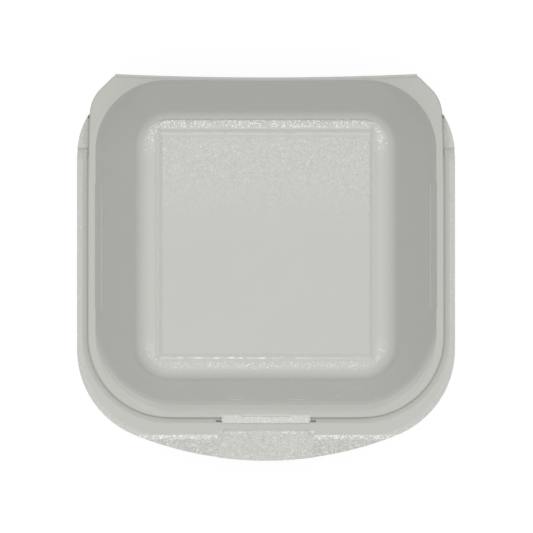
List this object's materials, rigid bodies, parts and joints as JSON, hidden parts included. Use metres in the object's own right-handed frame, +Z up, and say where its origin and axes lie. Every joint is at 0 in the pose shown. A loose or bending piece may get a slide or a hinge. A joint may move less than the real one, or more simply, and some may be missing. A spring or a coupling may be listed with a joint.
{
  "type": "burger box",
  "caption": "Hinged burger box of white foamed polystyrene: tapered tray, ledge and rim, thumb pad, and a lid with a framed top and a latch tongue.",
  "frame": {"origin": "under the middle of the box's outline, on the surface that it stands on", "axes": "+Z up, +Y towards the hinge at the back, so the latch and thumb pad are at -Y; +X to the right seen from the latch"},
  "size_m": [0.133, 0.1364, 0.0676],
  "materials": {
    "foam": "satin foamed skin with a fine grain"
  },
  "bodies": {
    "tray": {"base_tray": "foam", "living_hinge": "foam"},
    "cover": {"lid": "foam"}
  },
  "joints": [
    {"name": "lid_hinge", "type": "hinge", "parent": "tray", "child": "cover", "pos_m": [0, 0.0674, 0.035], "axis": [-1, 0, 0], "range_deg": [0, 180], "deforming": ["living_hinge"]}
  ]
}
